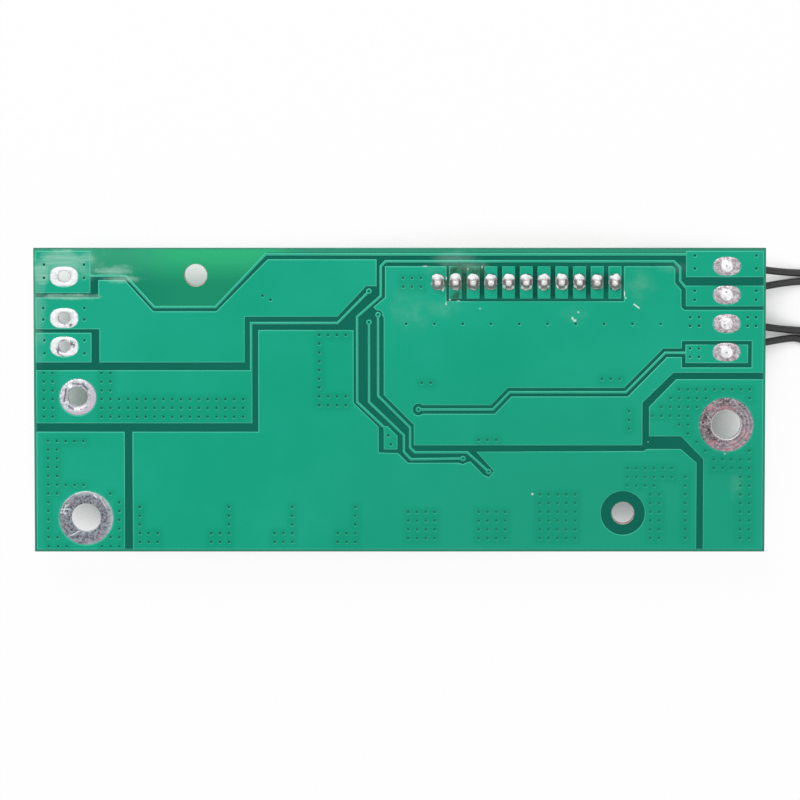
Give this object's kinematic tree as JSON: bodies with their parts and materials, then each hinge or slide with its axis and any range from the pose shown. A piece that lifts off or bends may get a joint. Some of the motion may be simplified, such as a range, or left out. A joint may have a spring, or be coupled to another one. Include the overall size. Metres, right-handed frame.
{
  "type": "battery management board",
  "caption": "Rectangular green circuit board, solder side up, with a pin row, tinned cable rings, oval lands, power transistors below and thin black sensor leads.",
  "frame": {"origin": "middle of the board, on the surface that the rim of the balance header stands on", "axes": "+X along the board towards the sensor leads, +Y towards the pin row, +Z out of the solder side"},
  "size_m": [0.1283, 0.0438, 0.0099],
  "materials": {
    "laminate": "green masked glass-fibre laminate",
    "masked_copper": "glossy green solder mask on copper",
    "tinned_land": "mottled tin",
    "solder": "bright solder",
    "header_plastic": "natural moulded nylon",
    "pin_metal": "tin plate",
    "package_mould": "matt black epoxy mould",
    "resistor": "black glaze with tinned ends",
    "small_chip": "ceramic with tinned ends",
    "lead_sleeve": "satin black insulation",
    "bead_epoxy": "black epoxy drop"
  },
  "bodies": {
    "root": {"circuit_board": "laminate", "solder_side_copper": "masked_copper", "component_side_copper": "masked_copper", "battery_minus_land": "tinned_land", "pack_minus_land": "tinned_land", "charge_minus_land": "tinned_land", "left_terminal_1": "tinned_land", "left_terminal_2": "tinned_land", "left_terminal_3": "tinned_land", "lead_joint_1": "solder", "lead_joint_2": "solder", "lead_joint_3": "solder", "lead_joint_4": "solder", "header_housing": "header_plastic", "header_pins": "pin_metal", "header_joints": "solder", "mosfet_1": "package_mould", "mosfet_2": "package_mould", "mosfet_3": "package_mould", "mosfet_4": "package_mould", "mosfet_5": "package_mould", "mosfet_6": "package_mould", "charge_mosfet_1": "package_mould", "charge_mosfet_2": "package_mould", "current_shunt_1": "resistor", "current_shunt_2": "resistor", "current_shunt_3": "resistor", "bleed_resistor_1": "resistor", "bleed_resistor_2": "resistor", "bleed_resistor_3": "resistor", "bleed_resistor_4": "resistor", "bleed_resistor_5": "resistor", "bleed_resistor_6": "resistor", "bleed_resistor_7": "resistor", "bleed_resistor_8": "resistor", "bleed_resistor_9": "resistor", "bleed_resistor_10": "resistor", "balance_chip_1": "package_mould", "balance_chip_2": "package_mould", "balance_chip_3": "package_mould", "balance_chip_4": "package_mould", "balance_chip_5": "package_mould", "balance_chip_6": "package_mould", "balance_chip_7": "package_mould", "balance_chip_8": "package_mould", "balance_chip_9": "package_mould", "balance_chip_10": "package_mould", "protection_chip": "package_mould", "filter_chips": "small_chip", "gate_chips": "small_chip", "lead_1": "lead_sleeve", "lead_2": "lead_sleeve", "lead_3": "lead_sleeve", "lead_4": "lead_sleeve", "coil_1": "lead_sleeve", "coil_2": "lead_sleeve", "bead_1": "bead_epoxy", "bead_2": "bead_epoxy"}
  },
  "joints": []
}
